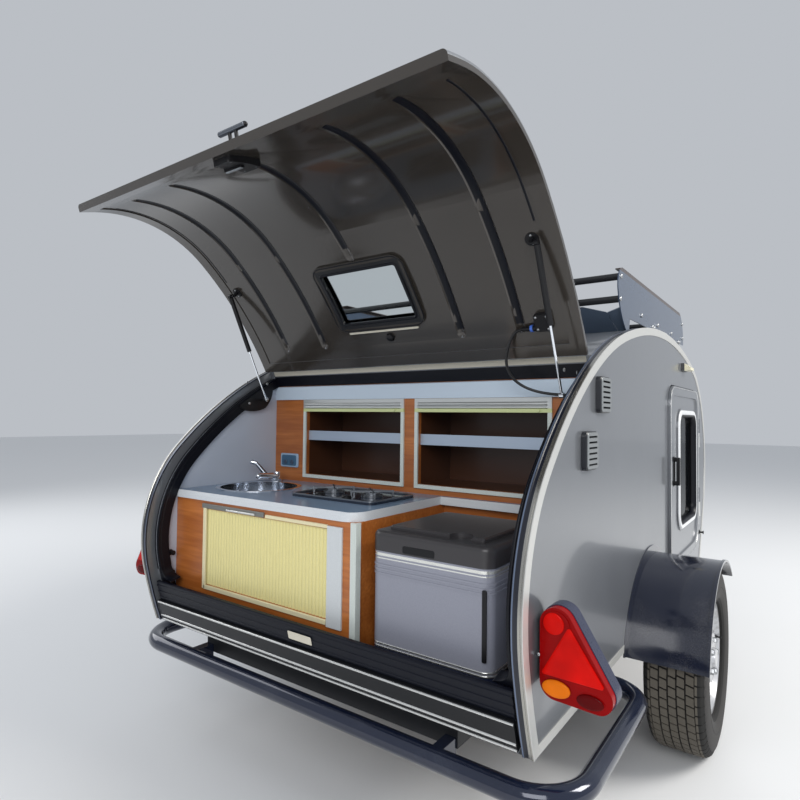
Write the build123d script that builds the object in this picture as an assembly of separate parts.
from build123d import *
import math
import os

# Teardrop trailer with a rear kitchen under a lifting hatch.
# Millimetres. X points forwards, Y to the left, Z up, and the wheels stand on Z = 0.
# Sizes are written from the rear foot of the body, and every node is moved at the end so that the
# origin lies on the floor under the middle of the whole trailer.

# Clearances
SEAT = 0.2            # between fixed pieces that lie on each other
MOVE = 6.0            # between a moving panel and what it passes
PIN_GAP = 0.3         # round a hinge pin
END_GAP = 0.5         # beside a knuckle
BITE = 1.0            # how far a piece reaches into the one it is joined to

# Body shell
BODY_WIDTH = 1500.0
WALL = 40.0           # side wall, outside to inside
SKIN = 26.0           # roof, front and sill panels
FLOOR = 30.0
FOOT_X = 74.0         # rear foot of the side outline
FOOT_Z = 405.0
FOOT_HEADING = 108.8  # direction of the outline at its foot, degrees above forwards

# Side outline as arcs that join smoothly, from the rear foot over the roof to the front foot.
# Columns: radius, degrees turned.
OUTLINE = (
    (1885.0, 6.5),
    (485.0, 55.7),
    (1455.0, 32.1),
    (2500.0, 30.9),
    (524.0, 99.0),
    (5200.0, 3.7),
)

# Aluminium trim over the edge of each side wall
TRIM_CAP = 3.0
TRIM_RIDGE = 2.0         # ridges along both sides of the cap
TRIM_RIDGE_WIDTH = 6.0
TRIM_SIDE = 2.3
TRIM_LEG = 24.0

# Sill below the hatch
SILL_HEADING = 103.9     # where the closed hatch meets the sill
SILL_TOP = 106.3         # heading where the glossy sill panel ends and the rubber threshold begins
SILL_GAP = 0.2           # degrees between the sill and the closed hatch's foot
SILL_BEHIND = 30.0       # how far the sill reaches in past the rebate
THRESHOLD_INSET = 11.0
THRESHOLD_RIBS = (106.0, 105.3, 104.6)
RIB_HIGH = 3.0
BEAD = 3.0               # beads pressed along the sill panel
SILL_BEADS = (106.45, 108.1, 108.6)

# Rear hatch
HATCH_THICK = 24.0
HATCH_SIDE_GAP = 7.0     # between the hatch and the rebate beside it
HATCH_EDGE_R = 12.0      # rounding of its outer side edges
REBATE_WALL = 28.0       # what is left of the side wall beside the hatch
HINGE_HEADING = 25.0     # where the roof ends at the hatch hinge
HATCH_OPEN = 86.0        # degrees, as it stands open
FIELD_DEPTH = 3.0        # the inner face is recessed inside its rim
RIM_SIDE = 47.0
RIM_TIP = 45.0
RIM_ROOT = 40.0
GROOVE_WIDTH = 34.0
GROOVE_DEPTH = 6.0
GROOVE_SIDE = 190.0      # outer grooves, from the hatch's side
GROOVE_WINDOW = 132.0    # inner grooves, from the window's side
GROOVE_LOW = 96.9        # headings between which the grooves run
GROOVE_HIGH = 29.4
WINDOW_W = 360.0
HATCH_WINDOW_FROM = 32.0  # headings of the window's two edges on the closed hatch
HATCH_WINDOW_TO = 41.3
HATCH_WINDOW_R = 26.0
GASKET_WEB = 3.0         # rubber between the panel's cut edge and the glass
GASKET_LIP = 18.0        # over the panel and over the glass
GASKET_HIGH = 9.0
GLASS = 5.0

# Piano hinge of the hatch
HINGE_RISE = 7.0         # hinge pin above the roof skin
HINGE_SIDE = 75.0        # from the hatch's side to the first knuckle
HINGE_KNUCKLES = 5
HINGE_SPACE = 20.0       # between two knuckles
KNUCKLE_R = 5.5
HINGE_PIN_R = 2.5
LEAF_WIDTH = 34.0
LEAF_THICK = 2.0

# Latch of the hatch
LATCH_BACK = 5.2         # degrees from the hatch's lower end
CASE_W = 68.0
CASE_LONG = 118.0
CASE_HIGH = 19.0
HANDLE_OUT = 55.0        # bar of the T handle in front of the skin
HANDLE_HALF = 52.0
HANDLE_R = 7.5
HANDLE_LEG_Y = 13.0

# Junction box on the hatch
BOX_FROM = 31.2
BOX_TO = 29.0
BOX_SIDE = 87.0          # from the hatch's side
BOX_W = 48.0
BOX_HIGH = 20.0
GLAND_LONG = 26.0
GLAND_R = 8.0

# Gas struts
STRUT_SIDE = 55.0        # from the wall's inner face
BALL_HEADING = 40.5      # where the strut's ball sits on the hatch
BALL_INSET = 46.0
STRUT_PIN_X = 500.0      # pin on the side wall
STRUT_PIN_Z = 1240.0
STRUT_R = 9.0
STRUT_ROD_R = 4.0
STRUT_PIN_R = 4.0
STRUT_EYE_R = 9.0
STRUT_EYE_THICK = 12.0
STRUT_BODY = 236.0
STRUT_SEAL = 14.0        # end cap of the cylinder round the rod
# D-shaped wall bracket, X and Z: straight rear and top sides, round below and in front
BRACKET_REAR = 392.0
BRACKET_TOP = 1340.0
BRACKET_LOW = ((392.0, 1204.0), (457.0, 1189.0), (528.0, 1204.0))
BRACKET_FRONT = ((528.0, 1204.0), (560.0, 1247.0), (570.0, 1296.0))
BRACKET_PLATE = 5.0
BRACKET_STEP = 8.0       # depth of its edge below the rebate
PAD_R = 20.0             # foot of the ball bracket on the hatch
PAD_THICK = 4.0
BALL_ARM_R = 6.0

# Hatch seal
SEAL_LIP = 14.0
SEAL_BEAD_R = 2.6
SEAL_DEEP = 42.0         # how far the lip reaches in past the rebate

# Side doors
DOOR_REAR = 1525.0
DOOR_FRONT = 2250.0
DOOR_BOTTOM = 510.0
DOOR_TOP = 1322.0
DOOR_GAP = 6.0
DOOR_R = 90.0
DOOR_TOE_R = 150.0       # larger radius at the lower front corner
DOOR_FRAME = 40.0        # width of the raised frame round the door
DOOR_FRAME_PROUD = 12.0
DOOR_FIELD_PROUD = 4.0
DOOR_CHAMFER = 3.0
DOOR_PIN_R = 4.0
DOOR_PIN_OUT = 10.0      # pin outside the wall face
DOOR_KNUCKLE_R = 8.0
DOOR_HINGE_Z = (738.0, 1102.0)
DOOR_HINGE_H = 150.0
DOOR_LEAF_BACK = 60.0    # hinge leaf on the door
DOOR_LEAF_AHEAD = 46.0   # hinge leaf on the wall
DOOR_LEAF_THICK = 3.0
WINDOW_REAR = 1735.0
WINDOW_FRONT = 2150.0
WINDOW_BOTTOM = 690.0
WINDOW_TOP = 1190.0
WINDOW_R = 55.0
WINDOW_FRAME = 34.0
FRAME_PROUD = 5.0        # window frame above the door's field
GLASS_BACK = 15.0        # door glass behind the wall's face
DOOR_HANDLE_X = 67.0     # from the door's rear edge
DOOR_HANDLE_Z = 945.0
DOOR_HANDLE_W = 42.0
DOOR_HANDLE_H = 130.0

# Wheels
WHEEL_X = 1175.0
TYRE_R = 325.0
TYRE_WIDTH = 195.0
TYRE_GAP = 40.0          # between the wall and the tyre's inner side
RIM_R = 192.0
RIM_LIP = 14.0
RIM_HOLES = 10
RIM_HOLE_R = 13.0
RIM_HOLE_AT = 138.0
STUB_R = 20.0
HUB_R = 62.0
CAP_R = 34.0

# Mudguards
GUARD_AHEAD = 7.0        # middle of the guard's arc from the wheel's
GUARD_BELOW = 23.0
GUARD_CLEAR = 37.0       # the guard's radius over the tyre's
GUARD_THICK = 4.0
GUARD_OVER = 15.0        # outer lip past the tyre's outer side
GUARD_REAR = 13.3        # degrees above level at the rear end
GUARD_FRONT = 47.0       # degrees above level at the front end
GUARD_FLANGE = 24.0
GUARD_LIP = 5.0

# Chassis
RAIL_Y = 500.0
RAIL_W = 40.0
RAIL_H = 80.0
RAIL_WALL = 3.0
RAIL_REAR = 130.0
RAIL_FRONT = 2200.0
NOSE_X = 3330.0          # where the drawbar's arms meet the coupling
COUPLING_Y = 38.0
TONGUE_BACK = 120.0
TONGUE_AHEAD = 70.0
TONGUE_WALL = 6.0
AXLE_AHEAD = 150.0       # axle beam ahead of the wheel centre
AXLE_BEAM = 60.0
AXLE_WALL = 5.0
ARM_THICK = 42.0
ARM_GAP = 18.0           # between the suspension arm and the tyre
ARM_R = 38.0
BALL_X = 3520.0
BALL_R = 25.25
BALL_Z = 395.0
HEAD_WALL = 10.0
HEAD_W = 64.0
HEAD_TALL = 46.0         # over the drawbar
SOCKET_SKIRT = 24.0      # straight wall of the socket below the ball's middle
LEVER_R = 11.0

# Jockey wheel
JOCKEY_X = 3130.0
JOCKEY_SIDE = 85.0       # from the drawbar's arm to the leg
JOCKEY_R = 100.0
JOCKEY_WIDTH = 58.0
JOCKEY_RIM_R = 62.0
JOCKEY_TRAIL = 45.0
JOCKEY_TUBE_R = 24.0
JOCKEY_TOP = 640.0
JOCKEY_LIFT = 80.0       # travel of the leg in its clamp
JOCKEY_AXLE_R = 8.0
FORK_RISE = 34.0         # fork's top over the small wheel
FORK_PIN_R = 10.0
FORK_THICK = 5.0
CLAMP_WALL = 9.0
CRANK_LONG = 92.0
CRANK_R = 7.0

# Rear bumper
BUMPER_X = 60.0
BUMPER_SIDE = 85.0       # middle of the tube outside the wall's face
BUMPER_Z = 325.0
BUMPER_R = 27.0
BUMPER_BEND = 140.0
BUMPER_END_BEND = 110.0
BUMPER_FRONT = 740.0
STAY_W = 32.0

# Kitchen
GALLEY_AHEAD = 46.0      # face of the lower cupboard from the rear foot
CABINET_X = 610.0        # face of the upper cabinet
CABINET_DEPTH = 250.0
PANEL = 18.0
WORKTOP_Z = 888.0
WORKTOP_THICK = 28.0
WORKTOP_NOSE = 8.0       # overhang past the cupboard
WORKTOP_R = 55.0
LEDGE = 24.0
BAY_BOTTOM = 922.0
BAY_TOP = 1226.0
BAY_LEFT = 193.0         # from the left wall to the left bay
BAY_RIGHT = 140.0        # from the right wall to the right bay
BAY_POST = 78.0          # between the two bays
BAY_POST_Y = -27.0
BAY_FRAME = 14.0
SHELF_Z = 1088.0
SHELF_THICK = 16.0
SHELF_LIP = 40.0
SHELF_LIP_THICK = 4.0
SLAT = 12.0              # slats of the rolled shutters
HEADER_LOW = 1241.0
HEADER_HIGH = 1306.0
SINK_X = 360.0
SINK_SIDE = 35.0         # between the bowl and the left wall
SINK_R = 150.0
SINK_DEPTH = 130.0
SINK_WALL = 2.0
SINK_RIM = 15.0
SINK_BEND = 40.0
DRAIN_R = 24.0
HOB_X = 385.0
HOB_LONG = 370.0
HOB_WIDE = 250.0
HOB_SHARE = 0.324        # of the spare worktop that lies on the hob's right
BURNER_APART = 176.0
SHUTTER_MARGIN_R = 60.0  # from the worktop's right end to the shutter
SHUTTER_MARGIN_L = 170.0  # from the left wall to the shutter
SHUTTER_BOTTOM = 560.0
SHUTTER_TOP = 830.0
SHUTTER_SLATS = 44
TAP_X = 530.0
TAP_SIDE = 98.0          # from the left wall
SPOUT_BACK = 95.0
SPOUT_IN = 48.0

# Cool box
COOLER_AHEAD = 56.0      # from the rear foot of the body
COOLER_DEPTH = 390.0
COOLER_SIDE = 99.0       # from the right wall
COOLER_WIDTH = 385.0
COOLER_BASE = 60.0
COOLER_HEIGHT = 355.0
COOLER_WALL = 30.0
COOLER_R = 34.0
COOLER_GAP = 46.0        # between the cool box and the worktop's end
COOLER_BANDS = (46.0, 58.0, 290.0, 302.0, 314.0)   # heights of the raised bands
LID_THICK = 55.0
LID_OPEN = 75.0
LID_RAISED = 12.0
LID_PIN = 7.0
LID_KNUCKLE_R = 5.0

# Mattress
MATTRESS_FRONT = 2300.0
MATTRESS_THICK = 100.0
MATTRESS_GAP = 12.0

# Roof rack
RACK_IN = 60.0           # from the wall's face
RACK_TOP = 1737.0
RACK_LOW_REAR = 1560.0
RACK_LOW_FRONT = 1575.0
RACK_TOP_REAR = 1032.0
RACK_TOP_FRONT = 2145.0
RACK_FRONT = 2240.0
RACK_PLATE = 4.0
RACK_TUBE_R = 13.0
RACK_FLANGE = 26.0
RACK_FEET = (1530.0, 1770.0, 2110.0)
FOOT_HALF = 30.0
RACK_HEEL = 1085.0       # rear end of the plate where it stands on the roof
RACK_HEEL_LONG = 39.0
# Cross tubes: columns are X and the depth of the middle below the plate's top
RACK_TUBES = (
    (1012.0, 37.0), (1000.0, 123.0), (1320.0, 137.0), (1620.0, 137.0), (1920.0, 137.0),
    (2215.0, 127.0), (2205.0, 53.0),
)
DEFLECTOR_TOP = (1006.0, 1597.0)    # X and Z of its upper edge, under the lower rear tube
DEFLECTOR_FALL = 43.0               # degrees below level, forwards
DEFLECTOR_THICK = 3.0
# Half of its outline: columns are the distance inside the rack plate, and the fall along the sheet
DEFLECTOR_EDGE = ((140.0, 0.0), (58.0, 34.0), (22.0, 180.0))

# Tail lamps: a case round three circles
LAMP_AHEAD = 6.0
LAMP_DEEP = 70.0
LENS_DEEP = 22.0
LENS_RAISED = 2.0
# Columns: distance of the middle from the wall's face, its height, radius
LAMP_CIRCLES = (
    (47.0, 712.0, 40.0),
    (45.0, 583.0, 38.0),
    (138.0, 575.0, 34.0),
)
LAMP_ROUND = 31.0
LAMP_TRIANGLE = ((86.0, 697.0), (13.0, 606.0), (155.0, 598.0))
# Oval fields: columns are distance from the wall's face, height, half width, half height
LAMP_OVALS = ((48.0, 574.0, 33.0, 20.0), (124.0, 566.0, 30.0, 15.0))
LAMP_FOOT = (570.0, 700.0)

# Wall vents: columns are middle X and middle Z
VENTS = ((437.0, 1083.0), (565.0, 1243.0))
VENT_W = 100.0
VENT_H = 108.0
VENT_DEEP = 18.0
VENT_R = 16.0
VENT_SLOTS = 6
ENTRY_LAMP_X = 1882.0
ENTRY_LAMP_Z = 1424.0
ENTRY_LAMP_W = 90.0
ENTRY_LAMP_H = 38.0
ENTRY_LAMP_OUT = 40.0

# Cable from the junction box to the side wall
CABLE_R = 4.5
CABLE_OUT = 30.0         # straight run out of the gland
# Rest of its route: columns are X, the distance from the right wall's face, and Z
CABLE_END = (
    (492.0, 249.0, 1436.0),
    (500.0, 272.0, 1396.0),
    (512.0, 285.0, 1350.0),
    (530.0, 278.0, 1308.0),
    (552.0, 250.0, 1276.0),
    (572.0, 204.0, 1256.0),
    (582.0, 148.0, 1247.0),
    (586.0, 92.0, 1244.0),
    (587.0, 40.4, 1243.0),
)

# Worked out from the sizes above
HALF = BODY_WIDTH / 2
INNER = HALF - WALL
SIDE = INNER - SEAT
REBATE_Y = HALF - REBATE_WALL
HATCH_Y = REBATE_Y - HATCH_SIDE_GAP
REBATE = HATCH_THICK + MOVE + BITE
FIELD_INSET = HATCH_THICK - FIELD_DEPTH
FLOOR_TOP = FOOT_Z + FLOOR
RAIL_TOP = FOOT_Z - SEAT
TYRE_OUTER = HALF + TYRE_GAP + TYRE_WIDTH
ARM_OUT = HALF + TYRE_GAP - ARM_GAP
ARM_IN = ARM_OUT - ARM_THICK
GUARD_X = WHEEL_X + GUARD_AHEAD
GUARD_Z = TYRE_R - GUARD_BELOW
GUARD_R = TYRE_R + GUARD_CLEAR
GUARD_OUTER = TYRE_OUTER + GUARD_OVER
BUMPER_Y = HALF + BUMPER_SIDE
STRUT_Y = INNER - STRUT_SIDE
BOX_SIDES = (BOX_SIDE - HATCH_Y, BOX_SIDE + BOX_W - HATCH_Y)
SILL_DEPTH = REBATE + SILL_BEHIND
SEAL_DEPTH = REBATE + SEAL_DEEP
GALLEY_FRONT = FOOT_X + GALLEY_AHEAD
COOLER_REAR = FOOT_X + COOLER_AHEAD
COOLER_FRONT = COOLER_REAR + COOLER_DEPTH
COOLER_RIGHT = COOLER_SIDE - INNER
COOLER_TOP = FLOOR_TOP + SEAT + COOLER_HEIGHT
WORKTOP_RIGHT = COOLER_RIGHT + COOLER_WIDTH + COOLER_GAP
BAYS = (
    (BAY_POST_Y + BAY_POST / 2, INNER - BAY_LEFT),
    (BAY_RIGHT - INNER, BAY_POST_Y - BAY_POST / 2),
)
SINK_Y = INNER - SINK_SIDE - SINK_R
SPARE_TOP = SINK_Y - SINK_R - SINK_RIM - WORKTOP_RIGHT - HOB_LONG
HOB_Y = WORKTOP_RIGHT + HOB_SHARE * SPARE_TOP + HOB_LONG / 2
TAP_Y = INNER - TAP_SIDE
SHUTTER_RIGHT = WORKTOP_RIGHT + SHUTTER_MARGIN_R
SHUTTER_LEFT = INNER - SHUTTER_MARGIN_L
RACK_Y = HALF - RACK_IN
LAMP_X = FOOT_X + LAMP_AHEAD


def outline_arcs():
    """Each arc of the outline as start heading, end heading, centre and radius."""
    arcs = []
    x, z, heading = FOOT_X, FOOT_Z, FOOT_HEADING
    for radius, turn in OUTLINE:
        a = math.radians(heading)
        cx = x + radius * math.sin(a)
        cz = z - radius * math.cos(a)
        end = heading - turn
        b = math.radians(end)
        arcs.append((heading, end, cx, cz, radius))
        x = cx - radius * math.sin(b)
        z = cz + radius * math.cos(b)
        heading = end
    return arcs


ARCS = outline_arcs()
LAST_HEADING = ARCS[-1][1]


def arc_at(heading):
    """The arc on which the outline runs at this heading."""
    return next((arc for arc in ARCS if heading >= arc[1] - 1e-9), ARCS[-1])


def along(length, heading):
    """Degrees that the outline turns over this length, where it runs at this heading."""
    return math.degrees(length / arc_at(heading)[4])


def on_outline(heading, inset):
    """The point (x, z) of the outline, moved inwards by inset, where it runs at this heading."""
    _, _, cx, cz, radius = arc_at(heading)
    a = math.radians(heading)
    return cx - (radius - inset) * math.sin(a), cz + (radius - inset) * math.cos(a)


def inward_plane(heading, inset):
    """A plane on the outline: X across the trailer, Y forwards along it, Z inwards."""
    x, z = on_outline(heading, inset)
    a = math.radians(heading)
    return Plane(origin=(x, 0, z), x_dir=(0, 1, 0), z_dir=(math.sin(a), 0, -math.cos(a)))


def outline_edges(start, end, inset):
    """Arcs of the inset outline from one heading down to another, in the plane Y = 0."""
    edges = []
    for first, last, _, _, _ in ARCS:
        a = min(first, start)
        b = max(last, end)
        if a - b < 1e-6:
            continue
        points = [on_outline(h, inset) for h in (a, (a + b) / 2, b)]
        edges.append(Edge.make_three_point_arc(*[Vector(x, 0, z) for x, z in points]))
    return edges


def prism(edges, y0, y1):
    """A closed loop of edges in the plane Y = 0, carried from y0 to y1."""
    face = Face(Wire(edges))
    return Part() + Pos(0, y0, 0) * Solid.extrude(face, Vector(0, y1 - y0, 0))


def strip(start, end, outer, inner, y0, y1):
    """A curved panel along the outline, between two headings and two insets."""
    top = outline_edges(start, end, outer)
    low = outline_edges(start, end, inner)
    ends = [
        Edge.make_line(top[0] @ 0, low[0] @ 0),
        Edge.make_line(top[-1] @ 1, low[-1] @ 1),
    ]
    return prism(top + low + ends, y0, y1)


def carry(section, start, end):
    """A section turned about each arc's centre between two headings.

    The section's X lies across the trailer and its Y is the inset.
    """
    made = Part()
    for first, last, cx, cz, _ in ARCS:
        a = min(first, start)
        b = max(last, end)
        if a - b < 1e-6:
            continue
        x, z = on_outline(a, 0)
        turn = math.radians(a)
        plane = Plane(origin=(x, 0, z), x_dir=(0, 1, 0), z_dir=(-math.cos(turn), 0, -math.sin(turn)))
        made += revolve(plane * section, Axis((cx, 0, cz), (0, 1, 0)), revolution_arc=a - b)
    return made


def body_block(inset, y0, y1):
    """Everything inside the inset outline, closed along the bottom."""
    top = outline_edges(FOOT_HEADING, LAST_HEADING, inset)
    return prism(top + [Edge.make_line(top[-1] @ 1, top[0] @ 0)], y0, y1)


def block(x0, x1, y0, y1, z0, z1):
    """A rectangular block between two corners."""
    size = Box(x1 - x0, y1 - y0, z1 - z0)
    return Pos((x0 + x1) / 2, (y0 + y1) / 2, (z0 + z1) / 2) * size


def side_cut(sketch, y0, y1):
    """A sketch drawn in X and Z, carried from y0 to y1."""
    return extrude(Plane.XZ.offset(-y0) * sketch, amount=y1 - y0, dir=(0, 1, 0))


def rod(a, b, radius):
    """A round bar from a to b."""
    way = Vector(*b) - Vector(*a)
    plane = Plane(origin=a, z_dir=way)
    return plane * Pos(0, 0, way.length / 2) * Cylinder(radius, way.length)


def across(x, z, radius, y0, y1):
    """A round bar along Y."""
    return rod((x, y0, z), (x, y1, z), radius)


def both(shape):
    """The shape and its mirror image on the other side."""
    return shape + mirror(shape, about=Plane.XZ)


def other(shape):
    """The mirror image on the other side."""
    return Part() + mirror(shape, about=Plane.XZ)


PIN_X, PIN_Z = on_outline(HINGE_HEADING, -HINGE_RISE)
HATCH_START = HINGE_HEADING + along(MOVE, HINGE_HEADING)   # heading where the hatch begins


def swing(shape, degrees):
    """Turns a shape about the hatch hinge, opening upwards."""
    return Pos(PIN_X, 0, PIN_Z) * Rot(0, degrees, 0) * Pos(-PIN_X, 0, -PIN_Z) * shape


def swing_point(x, z, degrees):
    """Turns a point (x, z) about the hatch hinge, opening upwards."""
    a = math.radians(degrees)
    dx, dz = x - PIN_X, z - PIN_Z
    return PIN_X + dx * math.cos(a) + dz * math.sin(a), PIN_Z - dx * math.sin(a) + dz * math.cos(a)


def door_outline(grow):
    """Door shape in X and Z, grown by grow all round."""
    return round_corners(DOOR_REAR - grow, DOOR_FRONT + grow, DOOR_BOTTOM - grow, DOOR_TOP + grow,
                         DOOR_R + grow, DOOR_TOE_R + grow)


def round_corners(x0, x1, z0, z1, radius, toe):
    """A rectangle with rounded corners and a larger radius at its lower front corner."""
    sheet = Pos((x0 + x1) / 2, (z0 + z1) / 2) * Rectangle(x1 - x0, z1 - z0)
    points = sheet.vertices()
    front_low = points.sort_by_distance((x1, z0, 0))[0]
    others = [v for v in points if v is not front_low]
    sheet = fillet(others, radius)
    corner = sheet.vertices().sort_by_distance((x1, z0, 0))[0]
    return fillet(corner, toe)


def window_outline(grow):
    """Door window in X and Z, grown by grow all round."""
    width = WINDOW_FRONT - WINDOW_REAR + 2 * grow
    height = WINDOW_TOP - WINDOW_BOTTOM + 2 * grow
    middle = Pos((WINDOW_REAR + WINDOW_FRONT) / 2, (WINDOW_BOTTOM + WINDOW_TOP) / 2)
    return middle * RectangleRounded(width, height, WINDOW_R + grow)


def make_walls(nodes):
    """Side walls, with the door openings and the rebate that the hatch lies in."""
    wall = body_block(SEAT, INNER, HALF)
    wall -= strip(FOOT_HEADING, HINGE_HEADING, -MOVE, REBATE, INNER - BITE, REBATE_Y)
    wall -= side_cut(door_outline(DOOR_GAP), INNER - BITE, HALF + BITE)
    nodes["wall_left"] = wall
    nodes["wall_right"] = other(wall)


def trim_section():
    """Section of the edge trim: a cap with a ridge along both sides, and a leg outside the wall."""
    a = REBATE_Y + BITE
    b = HALF + SEAT + TRIM_SIDE
    crest = -TRIM_CAP - TRIM_RIDGE
    wide = TRIM_RIDGE_WIDTH
    slope = wide + TRIM_RIDGE
    return make_face(Polyline(
        (a, 0), (a, crest), (a + wide, crest), (a + slope, -TRIM_CAP),
        (b - slope, -TRIM_CAP), (b - wide, crest), (b, crest), (b, TRIM_LEG),
        (HALF + SEAT, TRIM_LEG), (HALF + SEAT, 0), close=True,
    ))


def make_shell(nodes):
    """Roof with the front panel, floor and edge trim."""
    nodes["roof"] = strip(HINGE_HEADING, LAST_HEADING, 0, SKIN, -SIDE, SIDE)
    rear = on_outline(FOOT_HEADING, SILL_DEPTH + SEAT)[0]
    front = on_outline(LAST_HEADING, SKIN + SEAT)[0]
    nodes["floor"] = Part() + block(rear, front, -SIDE, SIDE, FOOT_Z, FLOOR_TOP)
    face = HALF + SEAT
    tip = on_outline(LAST_HEADING, 0)[0]
    low = block(FOOT_X, tip, face, face + TRIM_SIDE, FOOT_Z + SEAT, FOOT_Z + TRIM_LEG)
    low -= across(GUARD_X, GUARD_Z, GUARD_R + GUARD_FLANGE + BITE, HALF, face + TRIM_LEG)
    low -= strip(FOOT_HEADING, LAST_HEADING, -MOVE, TRIM_LEG + SEAT, HALF, face + TRIM_LEG)
    nodes["edge_trim"] = both(carry(trim_section(), FOOT_HEADING, LAST_HEADING) + low)


def make_sill(nodes):
    """Sill: a beaded outer panel, and behind it the ribbed threshold that the hatch shuts on."""
    sill = strip(FOOT_HEADING, SILL_TOP, 0, SILL_DEPTH, -SIDE, SIDE)
    sill += strip(FOOT_HEADING, SILL_HEADING + SILL_GAP, THRESHOLD_INSET, SILL_DEPTH, -SIDE, SIDE)
    sill += strip(FOOT_HEADING, SILL_HEADING - SILL_GAP, REBATE, SILL_DEPTH, -SIDE, SIDE)
    bead = along(BEAD, FOOT_HEADING)
    for heading in SILL_BEADS:
        sill += strip(heading + bead, heading - bead, -BEAD, BITE, -SIDE, SIDE)
    for heading in THRESHOLD_RIBS:
        sill += strip(heading + bead, heading - bead, THRESHOLD_INSET - RIB_HIGH, THRESHOLD_INSET + BITE,
                      -SIDE, SIDE)
    nodes["rear_sill"] = sill


def make_seal(nodes):
    """Hatch seal: an inner lip along both walls, a bead in each rebate, and the bar under the roof."""
    low = SILL_HEADING - BITE
    last = HINGE_HEADING + along(SEAL_LIP, HINGE_HEADING)
    root = HINGE_HEADING - along(PIN_GAP, HINGE_HEADING) * 10
    inner = INNER - SEAL_LIP
    lip = strip(low, root, REBATE + SEAT, SEAL_DEPTH, inner, SIDE)
    bar = strip(root, root - along(SEAL_DEEP + SEAL_LIP, HINGE_HEADING), SKIN + SEAT, SEAL_DEPTH, -SIDE, SIDE)
    middle = Pos((INNER + REBATE_Y) / 2, REBATE - SEAT)
    bead = middle * (Circle(SEAL_BEAD_R) & Pos(0, -SEAL_BEAD_R) * Rectangle(4 * SEAL_BEAD_R, 2 * SEAL_BEAD_R))
    nodes["hatch_seal"] = both(lip) + bar + both(carry(bead, low, last))


def seal_zone():
    """The room along the rear edge of the walls that the hatch seal takes up."""
    last = HINGE_HEADING - along(SEAL_DEEP + SEAL_LIP, HINGE_HEADING)
    return strip(FOOT_HEADING, last - SEAT, -MOVE, SEAL_DEPTH + SEAT, -HALF, HALF)


def hatch_groove(y, low, high):
    """A round channel pressed into the hatch's inner face, with round ends."""
    radius = ((GROOVE_WIDTH / 2) ** 2 + GROOVE_DEPTH ** 2) / (2 * GROOVE_DEPTH)
    middle = FIELD_INSET - GROOVE_DEPTH + radius
    cut = carry(Pos(y, middle) * Circle(radius), low, high)
    for heading in (low, high):
        x, z = on_outline(heading, middle)
        cut += Pos(x, y, z) * Sphere(radius)
    return cut


def hatch_window(grow):
    """A block through the hatch with the window's rounded outline, grown all round."""
    middle = (HATCH_WINDOW_FROM + HATCH_WINDOW_TO) / 2
    height = math.dist(on_outline(HATCH_WINDOW_FROM, 0), on_outline(HATCH_WINDOW_TO, 0))
    sheet = RectangleRounded(WINDOW_W + 2 * grow, height + 2 * grow, HATCH_WINDOW_R + grow)
    return extrude(inward_plane(middle, 0) * sheet, amount=3 * HATCH_THICK, both=True)


def make_hatch(nodes):
    """Hatch shell with rounded edges, rim, pressed grooves and window, shown standing open."""
    section = Pos(0, HATCH_THICK / 2) * Rectangle(2 * HATCH_Y, HATCH_THICK)
    outer = section.vertices().sort_by(Axis.Y)[:2]
    shell = carry(fillet(outer, HATCH_EDGE_R), SILL_HEADING, HATCH_START)
    rim = HATCH_Y - RIM_SIDE
    shell -= strip(SILL_HEADING - along(RIM_TIP, SILL_HEADING), HATCH_START + along(RIM_ROOT, HATCH_START),
                   FIELD_INSET, HATCH_THICK + MOVE, -rim, rim)
    inner = WINDOW_W / 2 + GROOVE_WINDOW
    window_top = HATCH_WINDOW_TO + along(2 * GASKET_LIP, HATCH_WINDOW_TO)
    # Columns: distance from the middle, heading of the upper end
    for y, high in ((HATCH_Y - GROOVE_SIDE, GROOVE_HIGH), (inner, GROOVE_HIGH)):
        groove = hatch_groove(y, GROOVE_LOW, high)
        shell = shell - groove - mirror(groove, about=Plane.XZ)
    shell -= hatch_groove(0, GROOVE_LOW, window_top)
    shell -= hatch_window(0)
    middle = HATCH_THICK / 2
    span = (HATCH_WINDOW_TO + 3, HATCH_WINDOW_FROM - 3)
    wide = WINDOW_W
    glass = strip(*span, middle - GLASS / 2, middle + GLASS / 2, -wide, wide)
    glass = glass & hatch_window(-GASKET_WEB - SEAT)
    ring = hatch_window(GASKET_LIP) - hatch_window(-GASKET_LIP)
    gasket = ring & strip(*span, FIELD_INSET + SEAT, FIELD_INSET + GASKET_HIGH, -wide, wide)
    gasket += ring & strip(*span, -GASKET_WEB, -SEAT, -wide, wide)
    web = hatch_window(-SEAT) - hatch_window(-GASKET_WEB)
    gasket += web & strip(*span, -GASKET_WEB, FIELD_INSET + GASKET_HIGH, -wide, wide)
    nodes["hatch_shell"] = swing(shell, HATCH_OPEN)
    nodes["hatch_glass"] = swing(glass, HATCH_OPEN)
    nodes["hatch_gasket"] = swing(gasket, HATCH_OPEN)


def hatch_line(low, high, radius):
    """A bar on the hatch hinge's line."""
    return across(PIN_X, PIN_Z, radius, low, high)


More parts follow.
